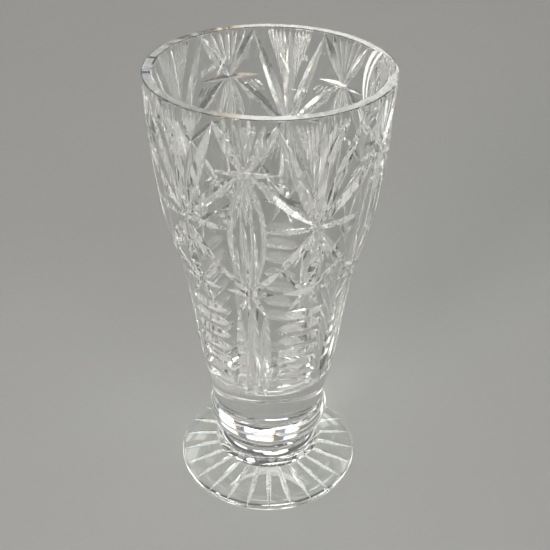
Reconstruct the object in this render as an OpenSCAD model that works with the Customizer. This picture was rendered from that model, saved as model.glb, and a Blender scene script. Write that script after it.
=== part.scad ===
// Cut crystal vase on a round foot: a tall flared bowl with star and mitre cutting,
// a rounded collar, a short waisted stem and a disc foot with radial mitres underneath.
// Millimetres, +Z up, the origin at the centre of the face the foot rests on.

/* [Pieces] */
// Piece to draw

/* [Overall size] */
// Height of the whole vase
height = 305; // [240:1:380]
// Outside diameter of the rim
rim_diameter = 150.4; // [120:0.2:190]
// Outside diameter at the shoulder, where the wall turns upright
shoulder_diameter = 142.4; // [110:0.2:180]
// Outside diameter halfway up the bowl
middle_diameter = 110; // [90:0.5:140]
// Outside diameter where the bowl meets the collar
bowl_base_diameter = 78.2; // [60:0.2:100]
// Diameter of the foot
foot_diameter = 130; // [100:1:170]

/* [Wall] */
// Wall thickness at the rim
rim_wall = 6.8; // [5:0.1:9]
// Wall thickness over the upper bowl
upper_wall = 9.4; // [8:0.1:12]
// Wall thickness over the lower bowl
lower_wall = 9.6; // [8:0.1:13]
// Height of the cavity floor above the table
cavity_floor_height = 78; // [70:0.5:95]
// Width of the polished bevel on the two rim edges
rim_bevel = 0.8; // [0.3:0.1:1.5]
// Cut the old chip out of the inside of the rim
rim_chip = true;
// Turn of the chip from the front
chip_turn = 96; // [0:1:359]
// Width of the chip round the wall
chip_width = 52; // [20:1:60]
// Depth of the chip at the rim
chip_depth = 4.4; // [2:0.1:6]

/* [Collar, stem and foot] */
// Height of the face where the bowl meets the collar
collar_top_height = 58; // [50:0.5:66]
// Height of the face where the collar meets the stem
collar_bottom_height = 36; // [30:0.5:42]
// Largest diameter of the rounded collar
collar_diameter = 85; // [80:0.5:96]
// Smallest diameter of the stem
stem_waist_diameter = 66; // [50:0.5:74]
// Diameter of the face where the stem meets the foot
stem_base_diameter = 78.6; // [72:0.2:90]
// Height of the face where the stem meets the foot
foot_centre_height = 17; // [12:0.5:22]
// Height of the upright edge of the foot
foot_edge_height = 3.6; // [2.5:0.1:6]

/* [Cutting on the bowl] */
// Number of times the pattern repeats round the bowl
repeats = 5; // [4:1:7]
// Turn of the first upper star from the front
pattern_turn = -10; // [-36:1:36]
// How far the spacing of the stars, set by hand, drifts from even
hand_drift = 3.1; // [0:0.1:4]
// Height of the upper stars
upper_star_height = 274.5; // [265:0.5:278]
// Height of the lower stars
lower_star_height = 235.5; // [228:0.5:245]
// Height of the stars over the upright mitres
base_star_height = 184.5; // [176:0.5:190]
// Half of the angle between the faces of the main mitres
mitre_half_angle = 50; // [40:1:60]
// Half of the angle between the faces of the fine mitres
fine_half_angle = 42; // [35:1:55]
// Depth of the main mitres at a star
star_depth = 3.4; // [2:0.1:4.5]
// Depth of the fine mitres
fine_depth = 1.1; // [0.6:0.1:1.8]
// Number of steps in each ladder panel
ladder_steps = 7; // [4:1:8]
// Height of the lowest ladder step
ladder_start = 99; // [94:0.5:106]
// Distance between ladder steps
ladder_pitch = 11; // [9:0.5:13]
// Depth of each ladder step
ladder_depth = 2.1; // [1:0.1:3]

/* [Cutting under the foot] */
// Number of radial mitres under the foot
foot_mitres = 25; // [16:1:36]
// Depth of the radial mitres
foot_mitre_depth = 2.2; // [1:0.1:4]

/* [Hidden] */
$fn = 96;
glass = [0.86, 0.90, 0.89, 0.5];
sector = 360 / repeats;
half_sector = sector / 2;
top_flat_height = height - rim_bevel;
profile_steps = 18;

// Stations up the outside of the bowl: height, radius, slope of the wall
outer_stations = [
    [collar_top_height, bowl_base_diameter / 2, 0.20],
    [110, 48.4, 0.14],
    [160, middle_diameter / 2, 0.17],
    [207, 65.9, 0.24],
    [240, shoulder_diameter / 2, 0.10],
    [height, rim_diameter / 2, 0.03]
];
cavity_foot_height = cavity_floor_height + 16;
// Stations up the inside of the bowl
inner_stations = [
    [cavity_foot_height, wall_radius(cavity_foot_height) - lower_wall, 0.22],
    [160, middle_diameter / 2 - lower_wall, 0.17],
    [215, wall_radius(215) - upper_wall, 0.20],
    [265, wall_radius(265) - upper_wall, 0.09],
    [height, rim_diameter / 2 - rim_wall, 0.13]
];

// Radius at one height of the smooth curve between two stations
function curve(z, a, b) =
    let (h = b[0] - a[0], t = (z - a[0]) / h)
    (2 * pow(t, 3) - 3 * t * t + 1) * a[1] + (pow(t, 3) - 2 * t * t + t) * h * a[2]
    + (3 * t * t - 2 * pow(t, 3)) * b[1] + (pow(t, 3) - t * t) * h * b[2];
function along(z, stations, i = 0) =
    i >= len(stations) - 2 || z <= stations[i + 1][0]
    ? curve(z, stations[i], stations[i + 1]) : along(z, stations, i + 1);
function wall_radius(z) = along(z, outer_stations);
// Lean of the outside wall from upright, in degrees
function wall_lean(z) = atan((wall_radius(z + 1) - wall_radius(z - 1)) / 2);

// Solid bounded by the outside of the bowl
module bowl_blank() {
    rotate_extrude()
        polygon(concat(
            [[0, collar_top_height]],
            [for (i = [0 : profile_steps])
                let (z = collar_top_height + (top_flat_height - collar_top_height) * i / profile_steps)
                [wall_radius(z), z]],
            [[rim_diameter / 2 - rim_bevel, height], [0, height]]));
}

// Space inside the bowl, with a rounded floor
module cavity() {
    first = inner_stations[0];
    rotate_extrude()
        polygon(concat(
            [for (a = [0 : 15 : 75])
                [first[1] * sin(a), cavity_foot_height - 16 * cos(a)]],
            [for (i = [0 : profile_steps])
                let (z = cavity_foot_height + (top_flat_height - cavity_foot_height) * i / profile_steps)
                [along(z, inner_stations), z]],
            [[rim_diameter / 2 - rim_wall + rim_bevel, height],
             [rim_diameter / 2 - rim_wall + rim_bevel, height + 1], [0, height + 1]]));
}

// V groove along Z, deepest in the middle, opening towards -Y and rising to both ends
module groove(half_length, rise, half_angle, reach) {
    for (end = [0, 1])
        mirror([0, 0, end])
            rotate([atan(rise / half_length), 0, 0])
                linear_extrude(height = half_length + 1)
                    polygon([[0, 0], [-reach * tan(half_angle), -reach], [reach * tan(half_angle), -reach]]);
}

// One mitre in the bowl: turn round the bowl, height of its middle, tilt from upright,
// half of its length and the depth at its middle
module mitre(turn, z, tilt, half_length, depth, half_angle = mitre_half_angle) {
    wall_falls_away = pow(half_length * sin(tilt), 2) / (2 * wall_radius(z));
    even_turn = $sector_turn + turn;
    rotate([0, 0, even_turn - hand_drift * sin(2 * even_turn)])
        translate([0, -wall_radius(z), z])
            rotate([wall_lean(z), 0, 0])
                rotate([0, tilt, 0])
                    translate([0, depth, 0])
                        groove(half_length, max(depth - wall_falls_away, 0.3), half_angle, depth + 2.5);
}

// A mitre and its mirror image on the other side of the star's middle line
module mitre_pair(turn, z, tilt, half_length, depth, half_angle = mitre_half_angle) {
    for (side = [-1, 1])
        mitre(side * turn, z, side * tilt, half_length, depth, half_angle);
}

// Upper star: mitres spreading to the rim and downwards, a level one and a fan of three fine ones
module upper_star() {
    mitre_pair(7.4, upper_star_height + 14, 35, 19, star_depth - 0.4);
    mitre_pair(4, upper_star_height - 19, -15, 22, fine_depth + 0.9);
    mitre(0, upper_star_height - 2, 90, 19, star_depth);
    mitre(0, height - 12, 0, 15, fine_depth + 0.3, fine_half_angle);
    mitre_pair(4.2, height - 12, 14, 15, fine_depth + 0.2, fine_half_angle);
}

// Lower star: mitres to the rim, to the upper stars and downwards, a long level one and upright ones
module lower_star() {
    rise = upper_star_height - lower_star_height;
    mitre_pair(half_sector / 2, lower_star_height + rise / 2, -48, 27, star_depth - 0.2);
    mitre_pair(25, height - 36, -23, 38, star_depth - 0.4);
    mitre_pair(26, lower_star_height - 16, 37, 20, star_depth - 1);
    mitre(half_sector, height - 36, 0, 33, star_depth);
    mitre(half_sector, lower_star_height, 90, 18, star_depth);
    mitre_pair(half_sector - 16, lower_star_height, 90, 14, star_depth - 1.2);
    mitre(half_sector, lower_star_height - 33, 0, 19, star_depth - 0.2, 56);
}

// Star over the upright mitres, with mitres bowing up towards the upper star and out to both sides
module base_star() {
    mitre_pair(4.4, base_star_height + 23, 12, 25, fine_depth + 0.9);
    mitre(0, base_star_height, 90, 17, star_depth - 0.4);
    mitre_pair(9.5, base_star_height + 12, 49, 19, star_depth - 1.2);
    mitre_pair(26.5, base_star_height + 12, -49, 19, star_depth - 1.2);
}

// Three upright mitres under each upper star
module upright_mitres() {
    for (turn = [-9, 0, 9])
        mitre(turn, 131, 0, 42, 2.4);
}

// Ladder of level steps under each lower star
module ladder_panel() {
    for (i = [0 : ladder_steps - 1])
        mitre(half_sector, ladder_start + i * ladder_pitch, 90, 14, ladder_depth);
}

// The part of the wall lost where the rim was chipped, a scoop out of the inside of the wall.
// It is one short arc of a ring, so it stays clear of the wall opposite.
module chip() {
    below_rim = 11;
    reach_down = 34;
    half_arc = 30;
    depth = chip_depth / (1 - pow(below_rim / reach_down, 2));
    inner_radius = along(height - below_rim, inner_stations);
    tube = 1 / (1 / inner_radius + 8 * depth / pow(chip_width, 2));
    ring = pow(reach_down, 2) / (2 * depth) - tube;
    rotate([0, 0, chip_turn])
        translate([0, -(inner_radius + depth - ring - tube), height - below_rim])
            rotate([0, 90, 0])
                rotate([0, 0, -90 - half_arc])
                    rotate_extrude(angle = 2 * half_arc)
                        translate([ring, 0])
                            circle(r = tube);
}

module bowl() {
    color(glass)
        difference() {
            bowl_blank();
            cavity();
            for ($sector_turn = [0 : sector : 359])
                rotate([0, 0, pattern_turn]) {
                    upper_star();
                    lower_star();
                    base_star();
                    upright_mitres();
                    ladder_panel();
                }
            if (rim_chip) chip();
        }
}

// Rounded collar between bowl and stem
module collar() {
    bulge_radius = (collar_top_height - collar_bottom_height) / 2;
    color(glass) {
        rotate_extrude()
            union() {
                translate([0, collar_bottom_height])
                    square([collar_diameter / 2 - 3.7, 2 * bulge_radius]);
                intersection() {
                    translate([collar_diameter / 2 - bulge_radius, collar_bottom_height + bulge_radius])
                        circle(r = bulge_radius);
                    translate([0, collar_bottom_height])
                        square([collar_diameter, 2 * bulge_radius]);
                }
            }
    }
}

// Short stem, hollowed all round to a waist
module stem() {
    hollow_radius = 17.5;
    color(glass)
        difference() {
            translate([0, 0, foot_centre_height])
                cylinder(d = stem_base_diameter, h = collar_bottom_height - foot_centre_height);
            rotate_extrude()
                translate([stem_waist_diameter / 2 + hollow_radius, foot_centre_height + 13])
                    circle(r = hollow_radius);
        }
}

// One radial mitre under the foot
module foot_mitre() {
    translate([0, -43, foot_mitre_depth])
        rotate([90, 0, 0])
            groove(20.5, foot_mitre_depth, mitre_half_angle, foot_mitre_depth + 1.5);
}

// Disc foot: domed top falling more steeply towards the upright polished edge, mitres underneath
module foot() {
    edge = foot_diameter / 2;
    run = edge - 0.8 - stem_base_diameter / 2;
    drop = foot_centre_height - foot_edge_height;
    color(glass)
        difference() {
            rotate_extrude()
                polygon(concat(
                    [[0, 0], [edge - 0.8, 0], [edge, 0.8], [edge, foot_edge_height - 0.8]],
                    [for (t = [1 : -0.125 : 0])
                        [stem_base_diameter / 2 + run * t,
                         foot_centre_height - drop * (0.58 * t + 0.42 * pow(t, 2))]],
                    [[0, foot_centre_height]]));
            for (i = [0 : foot_mitres - 1])
                rotate([0, 0, (i + 0.1) * 360 / foot_mitres])
                    foot_mitre();
        }
}

bowl();
collar();
stem();
foot();
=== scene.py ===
import math

import bmesh
import bpy
import numpy as np
from mathutils import Matrix, Vector


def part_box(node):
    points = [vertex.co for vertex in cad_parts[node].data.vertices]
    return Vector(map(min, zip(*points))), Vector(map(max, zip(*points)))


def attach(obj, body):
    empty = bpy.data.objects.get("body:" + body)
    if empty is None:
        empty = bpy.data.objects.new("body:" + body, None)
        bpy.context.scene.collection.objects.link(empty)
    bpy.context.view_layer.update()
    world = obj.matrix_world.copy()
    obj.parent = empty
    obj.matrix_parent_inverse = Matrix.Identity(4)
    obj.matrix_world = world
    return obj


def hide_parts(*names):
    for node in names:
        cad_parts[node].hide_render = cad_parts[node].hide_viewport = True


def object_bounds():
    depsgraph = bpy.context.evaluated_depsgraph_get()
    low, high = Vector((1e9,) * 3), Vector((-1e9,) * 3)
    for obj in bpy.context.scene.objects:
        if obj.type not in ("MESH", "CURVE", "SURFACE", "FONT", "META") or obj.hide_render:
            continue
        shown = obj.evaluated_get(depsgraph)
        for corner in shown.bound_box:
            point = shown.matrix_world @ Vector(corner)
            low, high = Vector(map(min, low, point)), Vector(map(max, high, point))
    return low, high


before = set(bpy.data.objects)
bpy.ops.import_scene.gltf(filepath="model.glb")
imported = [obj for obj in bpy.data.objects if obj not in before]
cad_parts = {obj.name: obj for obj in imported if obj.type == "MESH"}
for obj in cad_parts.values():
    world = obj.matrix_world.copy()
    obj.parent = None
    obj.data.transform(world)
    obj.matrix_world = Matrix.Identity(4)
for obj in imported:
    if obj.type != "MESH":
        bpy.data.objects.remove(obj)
cad_lo, cad_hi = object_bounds()

# ---------------------------------------------------------------- sizes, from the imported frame

# One design millimetre in metres, from the CAD box: every length below is in these units.
HEIGHT = 305.0
MM = (cad_hi.z - cad_lo.z) / HEIGHT

bowl_lo, bowl_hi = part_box("bowl")
collar_lo, collar_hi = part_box("collar")
stem_lo, stem_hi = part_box("stem")
foot_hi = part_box("foot")[1]

BOWL_Z = bowl_lo.z / MM
COLLAR_Z = collar_lo.z / MM
STEM_Z = stem_lo.z / MM
RIM_R = bowl_hi.x / MM
FOOT_R = foot_hi.x / MM
COLLAR_R = collar_hi.x / MM
STEM_R = stem_hi.x / MM
RIM_WALL = 6.8
RIM_ROUND = 1.0
# Radius where the collar meets the bowl
BAND_R = COLLAR_R - 3.7
# The cavity's wall ends at this height and radius, in a round floor this much deeper
CAVITY_FOOT_Z = 94.0
CAVITY_FOOT_R = 36.0
CAVITY_DROP = 16.0
# The stem's waist: its radius, its height above the foot and the radius of its hollow
WAIST_R = 33.0
WAIST_UP = 13.0
HOLLOW = 17.5
FOOT_EDGE = 3.6

# Flat faces round a full turn
SEGMENTS = 200
# The pattern on the bowl: copies round it, their spacing, the turn of the first and the cutter's drift
REPEATS = 5
SECTOR = 360.0 / REPEATS
TURN = -10.0
DRIFT = 3.1
FOOT_MITRES = 25
FOOT_TURN = 1.4

# Face kinds: polished wall, wheel cuts, the chip, the frosted lines in it, the flat of the rim
# and the mitres under the foot
KINDS = range(6)
WALL, CUT, CHIP, CHIP_EDGE, RIM, FOOT_CUT = KINDS

# ---------------------------------------------------------------- profiles

# Stations up the outside and the inside of the bowl: height, radius, slope
OUTER = [
    (BOWL_Z, 39.1, 0.20),
    (110.0, 48.4, 0.14),
    (160.0, 55.0, 0.17),
    (207.0, 65.9, 0.24),
    (240.0, 71.2, 0.10),
    (HEIGHT, RIM_R, 0.03),
]
INNER = [
    (CAVITY_FOOT_Z, CAVITY_FOOT_R, 0.22),
    (160.0, 45.4, 0.17),
    (215.0, 58.2, 0.20),
    (265.0, 63.9, 0.09),
    (HEIGHT, RIM_R - RIM_WALL, 0.13),
]


def hermite(z, a, b):
    """Radius at height z of the smooth curve between two stations."""
    h = b[0] - a[0]
    t = (z - a[0]) / h
    return (
        (2 * t**3 - 3 * t * t + 1) * a[1]
        + (t**3 - 2 * t * t + t) * h * a[2]
        + (3 * t * t - 2 * t**3) * b[1]
        + (t**3 - t * t) * h * b[2]
    )


def along(z, stations):
    """Radius at height z of the profile through all the stations."""
    for a, b in zip(stations[:-1], stations[1:]):
        if z <= b[0]:
            break
    return hermite(z, a, b)


def wall(z):
    return along(z, OUTER)


def lean(z, stations=OUTER):
    """Outward slope of a profile at height z."""
    return along(z + 0.5, stations) - along(z - 0.5, stations)


def spaced(a, b, n):
    """Values from a to b in n even steps."""
    return [a + (b - a) * i / n for i in range(n + 1)]


def outward(turn):
    """Level unit vector at a turn in degrees. Turn 0 faces -Y and grows towards +X."""
    a = math.radians(turn)
    return Vector((math.sin(a), -math.cos(a), 0))


def hand_set(turn):
    """The cutter spaced the stars by eye, so their spacing drifts a little from even."""
    return turn - DRIFT * math.sin(math.radians(2 * (turn - TURN)))


def on_wall(turn, z):
    """Point of the outer wall and its outward normal, in millimetres."""
    out = outward(hand_set(turn))
    normal = (out - Vector((0, 0, 1)) * lean(z)).normalized()
    return out * wall(z) + Vector((0, 0, z)), normal


def under_foot(turn, r):
    """Point of the foot's flat underside and its outward normal, in millimetres."""
    return outward(turn) * r, Vector((0, 0, -1))


# ---------------------------------------------------------------- mesh tools


def new_object(name, verts, faces):
    """Object from vertices in millimetres."""
    mesh = bpy.data.meshes.new(name)
    mesh.from_pydata([tuple(Vector(v) * MM) for v in verts], [], faces)
    mesh.update()
    obj = bpy.data.objects.new(name, mesh)
    bpy.context.scene.collection.objects.link(obj)
    return obj


def revolve(name, profile, wobble=None):
    """Mesh turned about Z from (radius, height) points. A radius of 0 is a single point.
    Wobble, if given, says how far each point strays outward and up."""
    verts, faces, rings = [], [], []
    for r, z in profile:
        if r < 1e-6:
            rings.append([len(verts)])
            verts.append((0, 0, z))
            continue
        ring = []
        for i in range(SEGMENTS):
            turn = 360.0 * i / SEGMENTS
            dr, dz = wobble(turn, r, z) if wobble else (0, 0)
            ring.append(len(verts))
            verts.append(outward(turn) * (r + dr) + Vector((0, 0, z + dz)))
        rings.append(ring)
    for low, high in zip(rings[:-1], rings[1:]):
        for i in range(SEGMENTS):
            j = (i + 1) % SEGMENTS
            if len(low) == 1:
                faces.append((low[0], high[j], high[i]))
            elif len(high) == 1:
                faces.append((low[i], low[j], high[0]))
            else:
                faces.append((low[i], low[j], high[j], high[i]))
    return new_object(name, verts, faces)


def wedge(points, depths, surface, half_angle, lift=2.0):
    """Closed V-shaped cutter along surface points. A depth below zero lifts its edge clear of the glass."""
    tan = math.tan(math.radians(half_angle))
    at = [surface(*p) for p in points]
    verts, faces = [], []
    for i, ((p, n), d) in enumerate(zip(at, depths)):
        a, b = at[max(i - 1, 0)][0], at[min(i + 1, len(at) - 1)][0]
        side = (b - a).cross(n).normalized()
        wide = (d + lift) * tan
        verts += [p - n * d, p + n * lift + side * wide, p + n * lift - side * wide]
    for i in range(len(at) - 1):
        k, m = 3 * i, 3 * i + 3
        for x, y in ((0, 1), (1, 2), (2, 0)):
            faces.append((k + x, k + y, m + y))
            faces.append((k + x, m + y, m + x))
    last = 3 * (len(at) - 1)
    faces.append((0, 2, 1))
    faces.append((last, last + 1, last + 2))
    return verts, faces


def cut(start, end, depth, peak=0.5, half_angle=50.0, steps=10, bow=0.0, flat=2.0):
    """A wheel mitre from start to end, each (turn, height): lens shaped, deepest at peak."""
    points, depths = [], []
    for i in range(steps + 1):
        t = -0.02 + 1.04 * i / steps
        turn = start[0] + (end[0] - start[0]) * t + bow * 4 * t * (1 - t)
        z = start[1] + (end[1] - start[1]) * t
        x = (peak - t) / peak if t < peak else (t - peak) / (1 - peak)
        points.append((turn, z))
        depths.append(depth * (1 - abs(x) ** flat))
    return points, depths, half_angle


def mirrored(c, axis=0.0):
    """The mirror image of a cut across the upright line at turn axis."""
    points, depths, half_angle = c
    return [(2 * axis - turn, z) for turn, z in points], depths, half_angle


def cutter(name, cuts, surface, copies, first_turn):
    """One tool holding several mitres that don't touch each other, each repeated round the axis."""
    verts, faces = [], []
    for points, depths, half_angle in cuts:
        for k in range(copies):
            turned = [(turn + first_turn + k * 360.0 / copies, z) for turn, z in points]
            v, f = wedge(turned, depths, surface, half_angle)
            base = len(verts)
            verts += v
            faces += [tuple(base + i for i in g) for g in f]
    tool = new_object(name, verts, faces)
    paint(tool, CUT)
    return tool


def paint(obj, kind):
    """Marks every face of a mesh with one face kind."""
    obj.data.polygons.foreach_set("material_index", [kind] * len(obj.data.polygons))


def face_outward(obj):
    """Turns the faces of a closed mesh outward if they point in."""
    mesh = obj.data
    co = np.empty(len(mesh.vertices) * 3)
    mesh.vertices.foreach_get("co", co)
    co = co.reshape(-1, 3)
    mesh.calc_loop_triangles()
    tri = np.empty(len(mesh.loop_triangles) * 3, dtype=int)
    mesh.loop_triangles.foreach_get("vertices", tri)
    tri = tri.reshape(-1, 3)
    if np.einsum("ij,ij->i", co[tri[:, 0]], np.cross(co[tri[:, 1]], co[tri[:, 2]])).sum() < 0:
        mesh.flip_normals()


def carve(obj, tools):
    """Cuts the tools out of obj. The faces they leave keep the tool's face kind."""
    for thing in [obj] + tools:
        face_outward(thing)
        for m in KIND_MARKERS:
            thing.data.materials.append(m)
    for tool in tools:
        m = obj.modifiers.new("cut", "BOOLEAN")
        m.operation = "DIFFERENCE"
        m.solver = "MANIFOLD"
        m.object = tool
    graph = bpy.context.evaluated_depsgraph_get()
    made = bpy.data.meshes.new_from_object(obj.evaluated_get(graph))
    obj.modifiers.clear()
    old = obj.data
    obj.data = made
    bpy.data.meshes.remove(old)
    for tool in tools:
        data = tool.data
        bpy.data.objects.remove(tool)
        bpy.data.meshes.remove(data)


def open_joint(obj, z, radius):
    """Removes the level disc inside a joint, so that glass meets glass with no skin between."""
    bm = bmesh.new()
    bm.from_mesh(obj.data)
    doomed = []
    for f in bm.faces:
        middle = f.calc_center_median() / MM
        if abs(middle.z - z) < 0.01 and math.hypot(middle.x, middle.y) < radius:
            doomed.append(f)
    bmesh.ops.delete(bm, geom=doomed, context="FACES")
    bm.to_mesh(obj.data)
    bm.free()


def shade(obj, angle=22.0, normal=None):
    """Smooth shading, split where faces meet at more than angle or differ in kind.
    Wall faces take the true normal of the surface they lie on."""
    mesh = obj.data
    bm = bmesh.new()
    bm.from_mesh(mesh)
    limit = math.radians(angle)
    for f in bm.faces:
        f.smooth = True
    for e in bm.edges:
        faces = e.link_faces
        e.smooth = (
            len(faces) == 2
            and faces[0].material_index == faces[1].material_index
            and faces[0].normal.angle(faces[1].normal, 0) < limit
        )
    bm.to_mesh(mesh)
    bm.free()
    if normal:
        wanted = [Vector((0, 0, 0))] * len(mesh.loops)
        for p in mesh.polygons:
            if p.material_index != WALL:
                continue
            for i in p.loop_indices:
                n = normal(mesh.vertices[mesh.loops[i].vertex_index].co / MM, p)
                if n is not None:
                    wanted[i] = n
        mesh.normals_split_custom_set(wanted)


# Stand-ins that carry the face kinds through the cutting
KIND_MARKERS = [bpy.data.materials.new(f"kind_{i}") for i in KINDS]

# ---------------------------------------------------------------- cutting pattern on the bowl

# Heights of the three rows of stars and of the cuts' upper end, and the turn of the lower star
UPPER = 274.5
LOWER = 235.5
BASE = 184.5
TOP = 302.2
HALF = SECTOR / 2

LADDER_STEPS = 7
LADDER_FOOT = 98.5
LADDER_PITCH = 11.0
UPRIGHT_FOOT = 90


def both(c, axis=0.0):
    """A cut and its mirror image as one tool, for pairs that don't touch."""
    return [[c, mirrored(c, axis)]]


def crossed(c, axis=0.0):
    """A cut and its mirror image as two tools, for pairs that cross."""
    return [[c], [mirrored(c, axis)]]


def upper_star():
    """Mitres spreading to the rim, blades between them, a level mitre, two bowed ones down to the small
    star below with rays between them, mitres down to the lower stars and fine lines beside those."""
    tools = crossed(cut((-1.2, UPPER - 5), (15.4, TOP), 3.0, peak=0.58, steps=12))
    tools += [[cut((-17.2, UPPER - 2.5), (17.2, UPPER - 2.5), 1.7, half_angle=50, steps=14)]]
    tools += [[cut((0, UPPER + 5), (0, TOP), 1.7, peak=0.85, half_angle=47)]]
    tools += both(cut((1.0, UPPER + 5), (4.9, TOP), 1.5, peak=0.84, half_angle=46))
    tools += both(cut((1.6, UPPER + 3), (9.8, TOP), 1.5, peak=0.84, half_angle=46))
    bowed = cut((0.3, UPPER - 1), (0.3, BASE - 1), 1.5, peak=0.45, half_angle=48, steps=20, bow=8.8, flat=3)
    tools += both(bowed)
    tools += both(cut((0.7, UPPER - 3), (6.8, 246), 1.8, peak=0.5, half_angle=46))
    tools += both(cut((0.5, UPPER - 4), (3.6, 243), 0.8, peak=0.5, half_angle=44))
    tools += [[cut((0, UPPER - 5), (0, 238), 1.7, peak=0.4, half_angle=46)]]
    tools += both(cut((1.6, 256), (0.9, 200), 0.9, peak=0.4, half_angle=44, bow=1.6))
    tools += crossed(cut((1.0, UPPER - 1), (HALF - 0.6, LOWER + 0.5), 3.0, peak=0.52, steps=14))
    for k in range(5):
        start = (6.0 + 2.3 * k, 268.7)
        end = (13.0 + 1.9 * k, 254 + 2.4 * k)
        tools += both(cut(start, end, 0.9, peak=0.4, half_angle=44, steps=6))
    return tools


def lower_star():
    """Mitres to the rim, an upright lens, long level arms, fans hanging from the rim and rays below."""
    tools = crossed(cut((14.6, TOP), (HALF + 2.2, LOWER - 7), 3.1, peak=0.5, steps=14), HALF)
    tools += [[cut((HALF, TOP), (HALF, LOWER - 4), 3.3, peak=0.4, steps=14, half_angle=52)]]
    for k, low in enumerate((260, 264, 269.5, 277, 286)):
        gap = 3.6 + 2.2 * k
        end = (HALF - 0.45 * gap - 0.06 * gap * k, low)
        fan = cut((HALF - gap, TOP), end, 1.35, peak=0.22, half_angle=43, steps=10)
        tools += both(fan, HALF)
    arm = cut((HALF + 3, LOWER - 1), (HALF - 27, LOWER - 1), 2.0, peak=0.55, half_angle=48, steps=14)
    tools += both(arm, HALF)
    tools += [[cut((HALF, 220), (HALF, BASE + 1), 3.0, peak=0.5, steps=12, half_angle=56, flat=4.0)]]
    down = cut((HALF + 1.5, LOWER + 1), (HALF - 20.5, 200), 2.3, peak=0.6, half_angle=50, steps=12)
    tools += crossed(down, HALF)
    for end_turn, depth in ((10.5, 1.4), (6.8, 1.2), (3.2, 1.0)):
        ray = cut((HALF - 0.8, LOWER - 2), (HALF - end_turn, 207), depth, peak=0.45, half_angle=46)
        tools += both(ray, HALF)
    return tools


def base_stars():
    """Row of stars where the wall narrows: one under each upper star and one under each lower star."""
    tools = [[cut((-16.5, BASE), (16.5, BASE), 2.5)]]
    tools += [[cut((HALF - 16.5, BASE), (HALF + 16.5, BASE), 2.5)]]
    tools += crossed(cut((-2, BASE - 3), (21, 208), 2.1))
    tools += crossed(cut((HALF + 2, BASE - 3), (HALF - 21, 208), 2.0), HALF)
    tools += [[cut((0, BASE + 2), (0, 228), 1.5, peak=0.35, half_angle=46)]]
    tools += both(cut((1, BASE - 1), (10.3, BASE - 20), 1.8, peak=0.45, half_angle=48))
    ray = cut((HALF - 1, BASE - 1), (HALF - 10.5, BASE - 15), 1.6, peak=0.45, half_angle=48)
    tools += both(ray, HALF)
    return tools


def upright_bundle():
    """Three wide upright mitres side by side under each upper star."""
    middle = cut((0, 173), (0, UPRIGHT_FOOT), 2.7, half_angle=55, steps=16, flat=4.0)
    beside = cut((9.4, 166), (9.4, UPRIGHT_FOOT), 2.7, half_angle=55, steps=16, flat=3.0)
    return [[middle]] + both(beside)


def ladder():
    """Level steps one above the other under each lower star."""
    tools = []
    for step in range(LADDER_STEPS):
        z = LADDER_FOOT + LADDER_PITCH * step
        tools += [[cut((HALF - 17.5, z), (HALF + 17.5, z), 2.1, half_angle=64, steps=12, flat=4.0)]]
    return tools


# ---------------------------------------------------------------- chip in the rim

# Place of the chip's middle, and half its width, half its height and its greatest depth
CHIP_TURN = 96.0
CHIP_Z = 287.0
CHIP_HALF = Vector((27.0, 29.0, 7.2))


def chip_loss(out_by, z):
    """Depth of glass lost at a share out_by of the way from the chip's middle to its outline.
    The chip is deepest at the rim. Past its outline the tool draws back into the cavity."""
    if out_by > 1:
        return -20 * (out_by - 1)
    lean_out = min(1.0, max(0.15, 0.5 + (z - CHIP_Z) / 36))
    return CHIP_HALF.z * lean_out * math.sqrt(1 - out_by**2)


def chip_tool():
    """Flake lost from the inside of the rim, rippled like broken glass, with two frosted lines
    near its outline."""
    rings = 60
    around = 120
    verts, faces, kinds = [], [], []
    shares = [1.02 * i / rings for i in range(rings + 1)]
    for side in (1, 0):
        for out_by in shares:
            for j in range(around):
                b = 2 * math.pi * j / around
                across = CHIP_HALF.x * out_by * math.cos(b) / (RIM_R - RIM_WALL)
                z = CHIP_Z + CHIP_HALF.y * out_by * math.sin(b)
                wave = math.sin(34 * out_by + math.sin(3 * b)) + 0.6 * math.sin(17 * out_by + 4 * b)
                lost = chip_loss(out_by, z) + 0.5 * wave * out_by * max(0.0, 0.85 - out_by)
                r = along(min(z, HEIGHT), INNER) + (lost if side else -4.0)
                verts.append(outward(CHIP_TURN + math.degrees(across)) * r + Vector((0, 0, z)))
    back = (rings + 1) * around
    for i in range(rings):
        kind = CHIP_EDGE if shares[i] > 0.94 or 0.84 < shares[i] < 0.89 else CHIP
        for j in range(around):
            m = (j + 1) % around
            k = i * around
            faces.append((k + j, k + m, k + around + m, k + around + j))
            faces.append((back + k + j, back + k + around + j, back + k + around + m, back + k + m))
            kinds += [kind, CHIP]
    edge = rings * around
    for j in range(around):
        m = (j + 1) % around
        faces.append((edge + j, edge + m, back + edge + m, back + edge + j))
        kinds.append(CHIP)
    tool = new_object("chip", verts, faces)
    tool.data.polygons.foreach_set("material_index", kinds)
    bm = bmesh.new()
    bm.from_mesh(tool.data)
    bmesh.ops.remove_doubles(bm, verts=bm.verts, dist=1e-7)
    bm.to_mesh(tool.data)
    bm.free()
    return tool


# ---------------------------------------------------------------- bowl


def rim_wear(turn, r, z):
    """Small waves and flea bites along both edges of the rim."""
    if z < HEIGHT - RIM_ROUND + 0.05:
        return 0, 0
    a = math.radians(turn)
    bite = max(0.0, math.sin(7 * a + 2) * math.sin(31 * a) * math.sin(17 * a + 1) - 0.25)
    edge = 1.0 if r > RIM_R - 1.2 else (-1.0 if r < RIM_R - 5.6 else 0.0)
    return -edge * (0.45 * bite + 0.03 * math.sin(23 * a)), -0.35 * bite * abs(edge)


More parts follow.
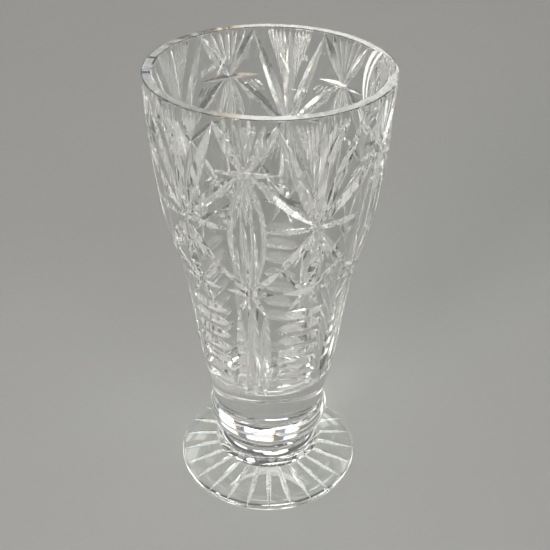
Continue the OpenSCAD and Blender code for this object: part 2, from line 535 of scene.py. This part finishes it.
def bowl_normal(p, face):
    """True normal of the smooth wall at a point, or None off the walls."""
    r = math.hypot(p.x, p.y)
    if r < 1 or p.z > HEIGHT - RIM_ROUND + 0.05 or p.z < BOWL_Z + 0.2:
        return None
    out = Vector((p.x / r, p.y / r, 0))
    radial = face.normal.dot(out)
    if abs(r - wall(p.z)) < 0.08 and radial > 0.5:
        return (out - Vector((0, 0, lean(p.z)))).normalized()
    if p.z > CAVITY_FOOT_Z + 1 and abs(r - along(p.z, INNER)) < 0.08 and radial < -0.5:
        return (Vector((0, 0, lean(p.z, INNER))) - out).normalized()
    return None


def make_bowl():
    """The flared body: turned, cut from outside, chipped at the rim and open where it joins the collar."""
    profile = [(0, BOWL_Z), (BAND_R, BOWL_Z), (wall(BOWL_Z) - 0.3, BOWL_Z)]
    profile += [(wall(z), z) for z in spaced(BOWL_Z + 0.5, HEIGHT - RIM_ROUND, 54)]
    profile += [(RIM_R - 0.3, HEIGHT - 0.3), (RIM_R - 0.95, HEIGHT), (RIM_R - 5.85, HEIGHT)]
    profile += [(RIM_R - 6.5, HEIGHT - 0.3)]
    profile += [(along(z, INNER), z) for z in spaced(HEIGHT - RIM_ROUND, CAVITY_FOOT_Z, 40)]
    for a in (82, 74, 66, 57, 48, 38, 28, 18, 9):
        a = math.radians(a)
        profile.append((CAVITY_FOOT_R * math.sin(a), CAVITY_FOOT_Z - CAVITY_DROP * math.cos(a)))
    profile += [(0, CAVITY_FOOT_Z - CAVITY_DROP)]
    obj = revolve("bowl_cut", profile, rim_wear)
    plan = upper_star() + lower_star() + base_stars() + upright_bundle() + ladder()
    tools = [cutter(f"tool_{i}", cuts, on_wall, REPEATS, TURN) for i, cuts in enumerate(plan)]
    carve(obj, tools + [chip_tool()])
    open_joint(obj, BOWL_Z, BAND_R)
    for p in obj.data.polygons:
        if p.material_index == WALL and p.center.z / MM > HEIGHT - 0.6 and p.normal.z > 0.9:
            p.material_index = RIM
    shade(obj, normal=bowl_normal)
    return obj


# ---------------------------------------------------------------- collar, stem and foot


def stem_radius(z):
    """Radius of the waisted neck, a hollow of one round curve."""
    return WAIST_R + HOLLOW - math.sqrt(HOLLOW**2 - (z - STEM_Z - WAIST_UP) ** 2)


def make_collar():
    """The rounded ring under the bowl, open where it joins the bowl and the stem."""
    bulge = (BOWL_Z - COLLAR_Z) / 2
    reach = math.acos((BAND_R - (COLLAR_R - bulge)) / bulge)
    profile = [(stem_radius(COLLAR_Z), COLLAR_Z), (BAND_R - 0.4, COLLAR_Z), (BAND_R, COLLAR_Z + 0.4)]
    for a in spaced(-reach, reach, 24):
        z = COLLAR_Z + bulge + bulge * math.sin(a)
        profile.append((COLLAR_R - bulge + bulge * math.cos(a), z))
    profile.append((BAND_R, BOWL_Z))
    obj = revolve("collar_ring", profile)
    shade(obj, 35)
    return obj


def make_stem():
    """The waisted neck, open at both ends."""
    profile = [(stem_radius(z), z) for z in spaced(STEM_Z, COLLAR_Z, 20)]
    obj = revolve("stem_neck", profile)
    shade(obj, 35)
    return obj


def make_foot():
    """The disc with a domed top, a round edge and mitres in its flat underside, open under the stem."""
    neck = stem_radius(STEM_Z)
    round_r = FOOT_EDGE / 2
    profile = [(0, 0), (FOOT_R - round_r - 0.3, 0)]
    for a in spaced(-90, 50, 12):
        a = math.radians(a)
        profile.append((FOOT_R - round_r * (1 - math.cos(a)), round_r * (1 + math.sin(a))))
    for t in spaced(23 / 24, 1 / 24, 22):
        z = STEM_Z - (STEM_Z - FOOT_EDGE) * (0.58 * t + 0.42 * t * t)
        profile.append((STEM_R + (FOOT_R - 0.8 - STEM_R) * t, z))
    profile += [(STEM_R + 0.4, STEM_Z - 0.15), (STEM_R, STEM_Z), (neck, STEM_Z), (0, STEM_Z)]
    obj = revolve("foot_disc", profile)
    ray = cut((0, 20.0), (0, 62.7), 1.7, peak=0.55, half_angle=46, steps=12)
    tool = cutter("foot_tool", [ray], under_foot, FOOT_MITRES, FOOT_TURN)
    paint(tool, FOOT_CUT)
    carve(obj, [tool])
    open_joint(obj, STEM_Z, neck)
    shade(obj, 30)
    return obj


# ---------------------------------------------------------------- glass

IOR = 1.55

# Per face kind: transmission where the grain is low and high, roughness added, bump strength
FINISH = {
    WALL: (1.0, 1.0, 0.0, 0.12),
    CUT: (0.96, 0.78, 0.02, 0.12),
    CHIP: (1.0, 0.94, 0.02, 0.5),
    CHIP_EDGE: (0.2, 0.05, 0.25, 0.6),
    RIM: (1.0, 0.93, 0.05, 0.5),
    FOOT_CUT: (0.8, 0.45, 0.04, 0.12),
}
# Base colours: of most kinds, and of the two that are greyer
CRYSTAL = (1, 0.995, 0.98, 1)
TINT = {WALL: (0.90, 0.905, 0.895, 1), RIM: (0.15, 0.155, 0.13, 1)}
SHADOW_TONE = (0.8, 0.82, 0.81, 1)
# Height of the bump's waves, in metres
BUMP_HEIGHT = 0.0006


def crystal(name, seed, kind):
    """Clear lead crystal: faint waves, polishing haze and wiping smears.
    Cut faces are a little less polished, with wheel grain, and the chip's edge is frosted."""
    clear, milky, added, strength = FINISH[kind]
    mat = bpy.data.materials.new(name)
    mat.use_nodes = True
    nodes, links = mat.node_tree.nodes, mat.node_tree.links
    nodes.clear()
    out = nodes.new("ShaderNodeOutputMaterial")
    glass = nodes.new("ShaderNodeBsdfPrincipled")
    glass.inputs["Base Color"].default_value = TINT.get(kind, CRYSTAL)
    glass.inputs["Transmission Weight"].default_value = clear
    glass.inputs["IOR"].default_value = IOR
    coord = nodes.new("ShaderNodeTexCoord")

    def noise(scale, detail, rough, stretch=(1, 1, 1)):
        place = nodes.new("ShaderNodeMapping")
        place.inputs["Location"].default_value = (seed * 0.37, seed * 0.11, seed * 0.23)
        place.inputs["Scale"].default_value = stretch
        n = nodes.new("ShaderNodeTexNoise")
        n.inputs["Scale"].default_value = scale
        n.inputs["Detail"].default_value = detail
        n.inputs["Roughness"].default_value = rough
        links.new(coord.outputs["Object"], place.inputs["Vector"])
        links.new(place.outputs["Vector"], n.inputs["Vector"])
        return n.outputs["Fac"]

    def ranged(value, from_low, from_high, low, high):
        n = nodes.new("ShaderNodeMapRange")
        for socket, v in zip(("From Min", "From Max", "To Min", "To Max"), (from_low, from_high, low, high)):
            n.inputs[socket].default_value = v
        links.new(value, n.inputs["Value"])
        return n.outputs["Result"]

    def combine(operation, a, b, c=None):
        n = nodes.new("ShaderNodeMath")
        n.operation = operation
        for i, v in enumerate((a, b, c)):
            if isinstance(v, float):
                n.inputs[i].default_value = v
            elif v is not None:
                links.new(v, n.inputs[i])
        return n.outputs["Value"]

    haze = ranged(noise(28, 4, 0.6), 0.45, 0.75, added, added + 0.012)
    smear = ranged(noise(60, 3, 0.55, (1, 1, 0.18)), 0.55, 0.8, 0.0, 0.012)
    links.new(combine("ADD", haze, smear), glass.inputs["Roughness"])
    grain = noise(900, 2, 0.5)
    if clear != milky:
        links.new(ranged(grain, 0.35, 0.65, clear, milky), glass.inputs["Transmission Weight"])
    wave = noise(42, 2, 0.4, (1, 1, 0.5))
    bump = nodes.new("ShaderNodeBump")
    bump.inputs["Strength"].default_value = strength
    bump.inputs["Distance"].default_value = BUMP_HEIGHT
    links.new(combine("MULTIPLY_ADD", grain, 0.02, wave), bump.inputs["Height"])
    links.new(bump.outputs["Normal"], glass.inputs["Normal"])
    # Shadows stay pale, as light passes through the glass
    shadow = nodes.new("ShaderNodeBsdfTransparent")
    shadow.inputs["Color"].default_value = SHADOW_TONE
    path = nodes.new("ShaderNodeLightPath")
    mix = nodes.new("ShaderNodeMixShader")
    links.new(path.outputs["Is Shadow Ray"], mix.inputs["Fac"])
    links.new(glass.outputs["BSDF"], mix.inputs[1])
    links.new(shadow.outputs["BSDF"], mix.inputs[2])
    links.new(mix.outputs["Shader"], out.inputs["Surface"])
    return mat


def finish_piece(obj, node, seed, kinds):
    """Gives a piece its glass, one material for each kind of face, and puts it in the frame."""
    mesh = obj.data
    order = [kind for kind, label in kinds]
    index = [order.index(p.material_index) for p in mesh.polygons]
    mesh.materials.clear()
    for kind, label in kinds:
        mesh.materials.append(crystal(f"{node}_{label}", seed + 7 * kind, kind))
    mesh.polygons.foreach_set("material_index", index)
    mesh.update()
    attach(obj, "root")
    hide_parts(node)


BOWL_KINDS = ((WALL, "wall"), (CUT, "cuts"), (CHIP, "chip"), (CHIP_EDGE, "chip_edge"), (RIM, "rim"))
finish_piece(make_bowl(), "bowl", 0, BOWL_KINDS)
finish_piece(make_collar(), "collar", 1, ((WALL, "wall"),))
finish_piece(make_stem(), "stem", 2, ((WALL, "wall"),))
finish_piece(make_foot(), "foot", 3, ((WALL, "wall"), (FOOT_CUT, "cuts")))
for marker in KIND_MARKERS:
    bpy.data.materials.remove(marker)

# ---------------------------------------------------------------- floor

FLOOR_R = 1900.0
# Just under the foot, so that the two faces never coincide
FLOOR_Z = -0.2
FLOOR_TONES = ((0.41, 0.406, 0.397, 1), (0.46, 0.455, 0.445, 1))
BACKDROP = (0.27, 0.267, 0.26, 1)


def floor_material():
    """Pale matt grey, faintly mottled, fading into the backdrop far from the object."""
    mat = bpy.data.materials.new("pale_floor")
    mat.use_nodes = True
    nodes, links = mat.node_tree.nodes, mat.node_tree.links
    matt = nodes["Principled BSDF"]
    matt.inputs["Roughness"].default_value = 0.75
    mottle = nodes.new("ShaderNodeTexNoise")
    mottle.inputs["Scale"].default_value = 9
    mottle.inputs["Detail"].default_value = 6
    ramp = nodes.new("ShaderNodeValToRGB")
    for stop, tone in zip(ramp.color_ramp.elements, FLOOR_TONES):
        stop.color = tone
    links.new(mottle.outputs["Fac"], ramp.inputs["Fac"])
    links.new(ramp.outputs["Color"], matt.inputs["Base Color"])
    coord = nodes.new("ShaderNodeTexCoord")
    distance = nodes.new("ShaderNodeVectorMath")
    distance.operation = "LENGTH"
    links.new(coord.outputs["Object"], distance.inputs[0])
    fade = nodes.new("ShaderNodeMapRange")
    fade.inputs["From Min"].default_value = 0.7 * FLOOR_R * MM
    fade.inputs["From Max"].default_value = 0.97 * FLOOR_R * MM
    fade.inputs["To Min"].default_value = 1.0
    fade.inputs["To Max"].default_value = 0.0
    links.new(distance.outputs["Value"], fade.inputs["Value"])
    links.new(fade.outputs["Result"], matt.inputs["Alpha"])
    return mat


floor = revolve("floor", [(0, FLOOR_Z), (FLOOR_R, FLOOR_Z)])
floor.data.flip_normals()
floor.data.materials.append(floor_material())

# ---------------------------------------------------------------- light

CARD_LIGHT = 3.4
CEILING_LIGHT = 0.12
DIMMEST = 0.03


def studio_world(tree):
    """Soft room: bright cards round the horizon under a dim ceiling, their edges slightly split
    into colours. Seen directly, it is a plain backdrop."""
    nodes, links = tree.nodes, tree.links

    def calc(operation, a, b=None, c=None):
        n = nodes.new("ShaderNodeMath")
        n.operation = operation
        for i, v in enumerate((a, b, c)):
            if isinstance(v, (int, float)):
                n.inputs[i].default_value = v
            elif v is not None:
                links.new(v, n.inputs[i])
        return n.outputs["Value"]

    def step(x, gain, offset):
        """Soft-edged step between 0 and 1."""
        return calc("MINIMUM", calc("MAXIMUM", calc("MULTIPLY_ADD", x, gain, offset), 0.0), 1.0)

    def stripes(x, count, phase, gain, offset):
        """Soft-edged stripes, count in every 2 pi."""
        return step(calc("SINE", calc("MULTIPLY_ADD", x, count, phase)), gain, offset)

    coord = nodes.new("ShaderNodeTexCoord")
    split = nodes.new("ShaderNodeSeparateXYZ")
    links.new(coord.outputs["Generated"], split.inputs["Vector"])
    turn = calc("ARCTAN2", split.outputs["X"], split.outputs["Y"])
    rise = calc("ARCSINE", split.outputs["Z"])
    room = nodes.new("ShaderNodeCombineColor")
    for channel, shift, tint in (("Red", 0.004, 1.0), ("Green", 0.0, 0.99), ("Blue", -0.004, 0.95)):
        t = calc("ADD", turn, shift)
        r = calc("ADD", rise, shift)
        cards = calc("MULTIPLY", stripes(t, 5, 0.9, 4.0, 2.6), stripes(t, 17, 0.3, 3.0, 2.2))
        slats = calc("MULTIPLY_ADD", stripes(r, 21, -0.4, 3.0, 2.0), 0.75, 0.25)
        band = calc("MULTIPLY", step(r, -7.0, 4.4), step(r, 9.0, -0.3))
        lit = calc("MULTIPLY", calc("MULTIPLY_ADD", calc("MULTIPLY", cards, slats), 0.92, 0.08), band)
        ceiling = calc("MULTIPLY_ADD", step(r, 4.0, -2.0), CEILING_LIGHT * tint, DIMMEST)
        links.new(calc("MULTIPLY_ADD", lit, CARD_LIGHT * tint, ceiling), room.inputs[channel])
    path = nodes.new("ShaderNodeLightPath")
    plain = nodes.new("ShaderNodeBackground")
    plain.inputs["Color"].default_value = BACKDROP
    mix = nodes.new("ShaderNodeMixShader")
    links.new(room.outputs["Color"], nodes["Background"].inputs["Color"])
    links.new(path.outputs["Is Camera Ray"], mix.inputs["Fac"])
    links.new(nodes["Background"].outputs["Background"], mix.inputs[1])
    links.new(plain.outputs["Background"], mix.inputs[2])
    links.new(mix.outputs["Shader"], nodes["World Output"].inputs["Surface"])


def softbox(name, at, size, watts, colour=(1, 1, 1)):
    """Round soft lamp aimed at the middle of the object. Place and size are in metres."""
    lamp = bpy.data.lights.new(name, "AREA")
    lamp.shape = "DISK"
    lamp.size = size
    lamp.energy = watts
    lamp.color = colour
    obj = bpy.data.objects.new(name, lamp)
    bpy.context.scene.collection.objects.link(obj)
    obj.location = at
    middle = Vector((0, 0, cad_hi.z / 2))
    obj.rotation_euler = (middle - Vector(at)).to_track_quat("-Z", "Y").to_euler()


world = bpy.data.worlds.new("studio")
bpy.context.scene.world = world
world.use_nodes = True
studio_world(world.node_tree)
softbox("key", (-0.95, -1.35, 0.8), 0.6, 16.0, (1.0, 0.985, 0.96))
softbox("side", (1.4, -0.5, 0.6), 0.5, 5.0, (0.96, 0.98, 1.0))
softbox("back", (-0.2, 1.4, 1.1), 0.6, 1.5)

# ---------------------------------------------------------------- camera

# Place in millimetres, angles in degrees, film and focal length in millimetres
CAMERA_AT = (4.1, -514.4, 506.3)
CAMERA_DOWN = 34.08
CAMERA_ROLL = 0.55
FILM_WIDTH = 36
FOCAL_LENGTH = 60.5

scene = bpy.context.scene
lens = bpy.data.cameras.new("camera")
lens.sensor_width = FILM_WIDTH
lens.lens = FOCAL_LENGTH
camera = bpy.data.objects.new("camera", lens)
scene.collection.objects.link(camera)
camera.location = Vector(CAMERA_AT) * MM
tilt = Matrix.Rotation(math.radians(90 - CAMERA_DOWN), 3, "X")
roll = Matrix.Rotation(math.radians(CAMERA_ROLL), 3, "Z")
camera.rotation_euler = (tilt @ roll).to_euler()
scene.camera = camera
scene.view_settings.view_transform = "Standard"
scene.cycles.max_bounces = 40
scene.cycles.glossy_bounces = 7
scene.cycles.transmission_bounces = 40
scene.cycles.transparent_max_bounces = 24
